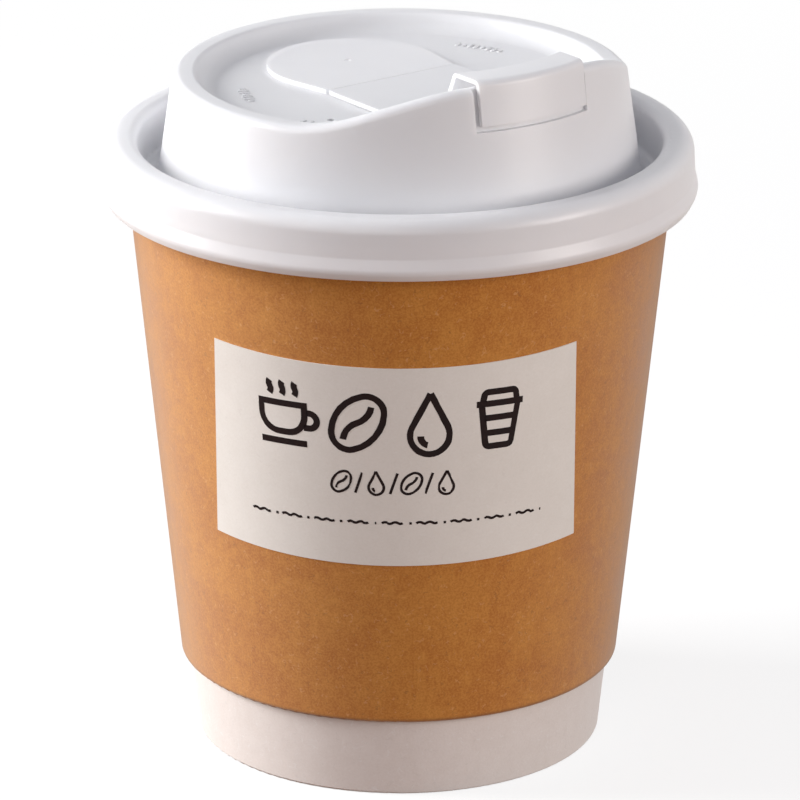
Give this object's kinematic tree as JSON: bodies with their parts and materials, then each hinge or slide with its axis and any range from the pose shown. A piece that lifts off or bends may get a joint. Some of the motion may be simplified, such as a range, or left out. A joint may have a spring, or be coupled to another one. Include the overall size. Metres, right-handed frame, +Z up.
{
  "type": "paper coffee cup",
  "caption": "Double walled paper coffee cup with a kraft outer sleeve, a paper label and a moulded snap lid with a raised spout and a hinged, hooked flap.",
  "frame": {"origin": "centre of the ring that the cup stands on", "axes": "+Z up the cup, the label faces -Y, and the spout lies 36.8 degrees from -Y towards +X"},
  "size_m": [0.0935, 0.0935, 0.1165],
  "materials": {
    "white_board": "smooth uncoated white cup board",
    "kraft_board": "brown kraft board with fine fibres",
    "label_paper": "matt white sticker paper",
    "lid_plastic": "satin white moulded polypropylene"
  },
  "bodies": {
    "cup": {"cup_wall": "white_board", "cup_bottom": "white_board", "kraft_sleeve": "kraft_board", "label": "label_paper"},
    "lid": {"lid": "lid_plastic"},
    "flap": {"lid_flap": "lid_plastic"}
  },
  "joints": [
    {"name": "lid_lift", "type": "slide", "parent": "cup", "child": "lid", "axis": [0, 0, 1], "range_m": [0, 0.03]},
    {"name": "flap_hinge", "type": "hinge", "parent": "lid", "child": "flap", "pos_m": [-0.00138, 0.00184, 0.10715], "axis": [-0.8007, -0.599, 0], "range_deg": [0, 155]}
  ]
}
